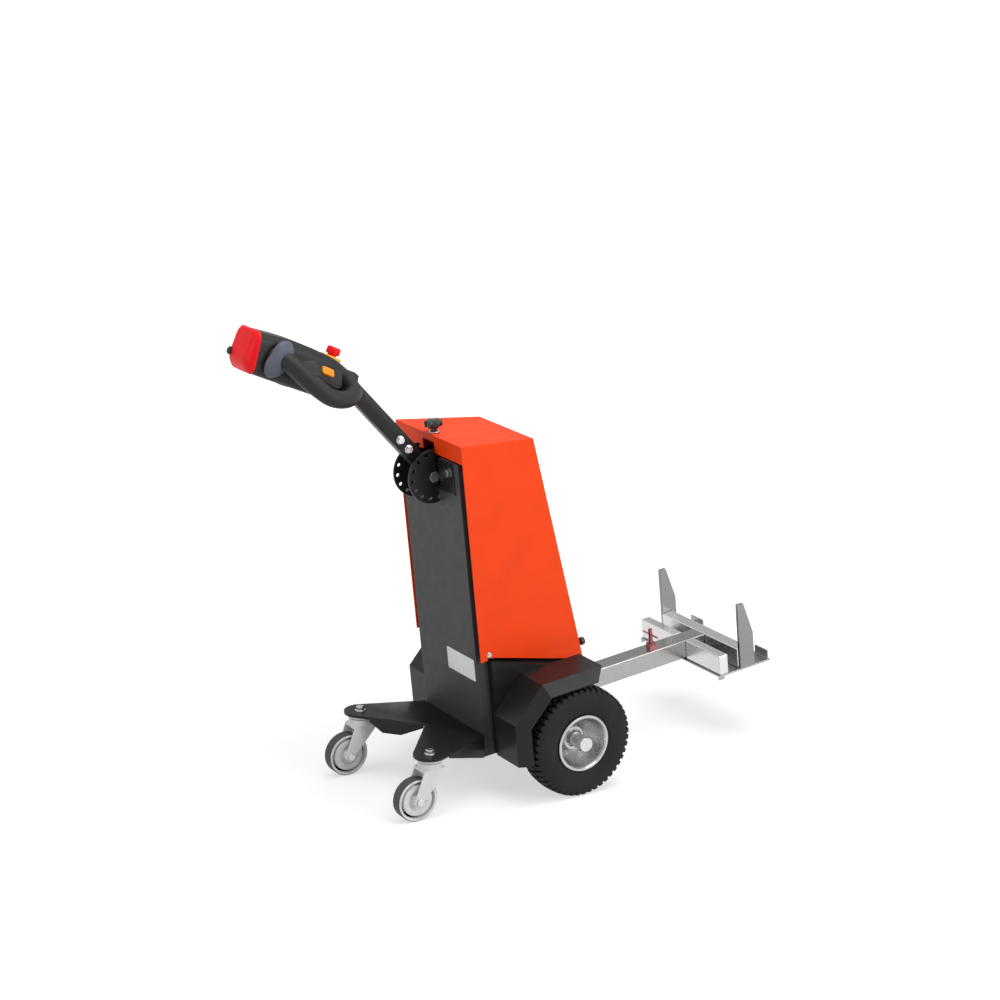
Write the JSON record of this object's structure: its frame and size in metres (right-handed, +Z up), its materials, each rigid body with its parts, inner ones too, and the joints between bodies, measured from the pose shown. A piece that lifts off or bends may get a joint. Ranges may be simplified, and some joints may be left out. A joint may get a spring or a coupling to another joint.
{
  "type": "walk-behind electric tug",
  "caption": "Walk-behind electric tug with a folded hood, driven pneumatic wheels, swivel castors, a tilting tiller with loop grips and a low tow carrier",
  "frame": {"origin": "middle of the overall box, on the floor the wheels stand on", "axes": "+X points forward to the tow carrier, +Y is the operator's left, +Z is up; the body leans back 5.68 degrees about the drive axle"},
  "size_m": [1.35, 0.5072, 1.129],
  "materials": {
    "orange_paint": "smooth satin powder coat",
    "black_paint": "satin powder coat",
    "grey_paint": "fine textured powder coat",
    "stainless": "brushed",
    "zinc_steel": "bright zinc plate",
    "rim_steel": "bright zinc plate",
    "cast_metal": "painted casting",
    "tyre": "moulded rubber",
    "castor_rubber": "matte",
    "grey_plastic": "moulded",
    "black_plastic": "fine grain",
    "slate_plastic": "fine grain",
    "red_plastic": "gloss",
    "yellow_plastic": "gloss",
    "horn_plastic": "gloss"
  },
  "bodies": {
    "chassis": {"rear_panel": "grey_paint", "chassis_tray": "black_paint", "hood": "orange_paint", "star_knob": "black_plastic", "guard_right": "black_paint", "guard_left": "black_paint", "castor_plate": "black_paint", "tow_tube": "stainless", "carrier_floor": "stainless", "carrier_cross_tube": "stainless", "carrier_bar": "stainless", "upright_right": "stainless", "upright_left": "stainless", "latch_pin": "zinc_steel", "drive_unit": "cast_metal", "battery_block": "black_plastic", "castor_race_right": "zinc_steel", "castor_race_left": "zinc_steel", "pivot_bracket": "black_paint", "index_disc_right": "black_paint", "index_disc_left": "black_paint", "pivot_pin": "zinc_steel"},
    "drive_wheel_right": {"tyre_right": "tyre", "rim_right": "rim_steel", "drive_shaft_right": "zinc_steel"},
    "drive_wheel_left": {"tyre_left": "tyre", "rim_left": "rim_steel", "drive_shaft_left": "zinc_steel"},
    "castor_swivel_right": {"castor_fork_right": "zinc_steel", "castor_pin_right": "zinc_steel"},
    "castor_swivel_left": {"castor_fork_left": "zinc_steel", "castor_pin_left": "zinc_steel"},
    "castor_wheel_right": {"castor_hub_right": "grey_plastic", "castor_tread_right": "castor_rubber"},
    "castor_wheel_left": {"castor_hub_left": "grey_plastic", "castor_tread_left": "castor_rubber"},
    "tiller": {"tiller_arm": "black_paint", "tiller_head": "black_plastic", "grip_loops": "black_plastic", "belly_switch": "red_plastic", "belly_button": "black_plastic", "thumb_switches": "slate_plastic", "horn_buttons": "horn_plastic", "stop_base": "yellow_plastic", "stop_button": "red_plastic"}
  },
  "joints": [
    {"name": "drive_spin_right", "type": "hinge", "parent": "chassis", "child": "drive_wheel_right", "pos_m": [0.07155, -0.2166, 0.13], "axis": [0, 1, 0], "continuous": true},
    {"name": "castor_swivel_right", "type": "hinge", "parent": "chassis", "child": "castor_swivel_right", "pos_m": [-0.28045, -0.1584, 0.125], "axis": [0, 0, 1], "continuous": true},
    {"name": "castor_spin_right", "type": "hinge", "parent": "castor_swivel_right", "child": "castor_wheel_right", "pos_m": [-0.31985, -0.1584, 0.05], "axis": [0, 1, 0], "continuous": true},
    {"name": "drive_spin_left", "type": "hinge", "parent": "chassis", "child": "drive_wheel_left", "pos_m": [0.07155, 0.2166, 0.13], "axis": [0, 1, 0], "continuous": true},
    {"name": "castor_swivel_left", "type": "hinge", "parent": "chassis", "child": "castor_swivel_left", "pos_m": [-0.28045, 0.1584, 0.125], "axis": [0, 0, 1], "continuous": true},
    {"name": "castor_spin_left", "type": "hinge", "parent": "castor_swivel_left", "child": "castor_wheel_left", "pos_m": [-0.31985, 0.1584, 0.05], "axis": [0, 1, 0], "continuous": true},
    {"name": "tiller_tilt", "type": "hinge", "parent": "chassis", "child": "tiller", "pos_m": [-0.1931, 0, 0.74985], "axis": [0, 1, 0], "range_deg": [-38, 23]}
  ]
}
